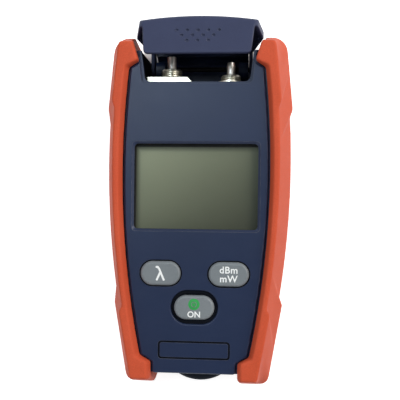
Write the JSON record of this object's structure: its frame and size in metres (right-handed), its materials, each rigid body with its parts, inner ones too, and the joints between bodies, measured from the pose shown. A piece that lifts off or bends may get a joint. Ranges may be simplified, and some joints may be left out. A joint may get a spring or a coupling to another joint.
{
  "type": "optical power meter",
  "caption": "Hand-held optical power meter with rubber side grips, display, round-ended keys, two fibre ports under a flip-up dust cover and a tilt stand.",
  "frame": {"origin": "centre line of the flat back, 2 mm below the middle of the overall length, in the plane that the meter lies on", "axes": "+X to the right of the face, +Y towards the fibre ports, +Z out of the display"},
  "size_m": [0.0754, 0.1497, 0.036],
  "materials": {
    "navy_plastic": "fine spark-eroded satin",
    "orange_rubber": "soft-touch satin",
    "cover_plastic": "fine spark-eroded satin",
    "steel": "machined",
    "lens": "clear acrylic",
    "gasket_foam": "closed-cell foam",
    "lcd": "reflective display glass",
    "holder_plastic": "moulded",
    "key_grey": "soft satin",
    "silicone": "translucent silicone",
    "circuit": "solder mask",
    "black_plastic": "glossy black",
    "nickel": "bright nickel plate",
    "cell_jacket": "printed sleeve, left plain",
    "stand_plastic": "satin"
  },
  "bodies": {
    "housing": {"front_shell": "navy_plastic", "rear_shell": "navy_plastic", "left_grip": "orange_rubber", "right_grip": "orange_rubber", "display_window": "lens", "window_gasket": "gasket_foam", "lcd_glass": "lcd", "lcd_holder": "holder_plastic", "keypad_mat": "silicone", "dome_switches": "steel", "main_board": "circuit", "board_screws": "steel", "case_screws": "steel", "port_bulkhead": "black_plastic", "detector_port": "nickel", "laser_port": "nickel", "detector_sleeve": "nickel", "laser_sleeve": "nickel", "detector_module": "steel", "laser_module": "steel", "cell_right": "cell_jacket", "cell_left": "cell_jacket", "spring_right": "steel", "spring_left": "steel", "contact_low": "steel", "contact_high": "steel"},
    "cover": {"dust_cover": "cover_plastic", "cover_pin": "steel"},
    "stand": {"tilt_stand": "stand_plastic"},
    "door": {"battery_door": "navy_plastic"},
    "wavelength_key": {"key_wavelength": "key_grey"},
    "units_key": {"key_units": "key_grey"},
    "power_key": {"key_power": "key_grey"}
  },
  "joints": [
    {"name": "cover_hinge", "type": "hinge", "parent": "housing", "child": "cover", "pos_m": [0, 0.059, 0.007], "axis": [1, 0, 0], "range_deg": [-88, 22]},
    {"name": "stand_hinge", "type": "hinge", "parent": "housing", "child": "stand", "pos_m": [0, 0.0016, 0.00185], "axis": [1, 0, 0], "range_deg": [0, 58]},
    {"name": "door_lift", "type": "slide", "parent": "housing", "child": "door", "axis": [0, 0, -1], "range_m": [0, 0.02]},
    {"name": "wavelength_press", "type": "slide", "parent": "housing", "child": "wavelength_key", "axis": [0, 0, -1], "range_m": [0, 0.0008], "stiffness_N_per_m": 400},
    {"name": "units_press", "type": "slide", "parent": "housing", "child": "units_key", "axis": [0, 0, -1], "range_m": [0, 0.0008], "stiffness_N_per_m": 400},
    {"name": "power_press", "type": "slide", "parent": "housing", "child": "power_key", "axis": [0, 0, -1], "range_m": [0, 0.0008], "stiffness_N_per_m": 400}
  ]
}
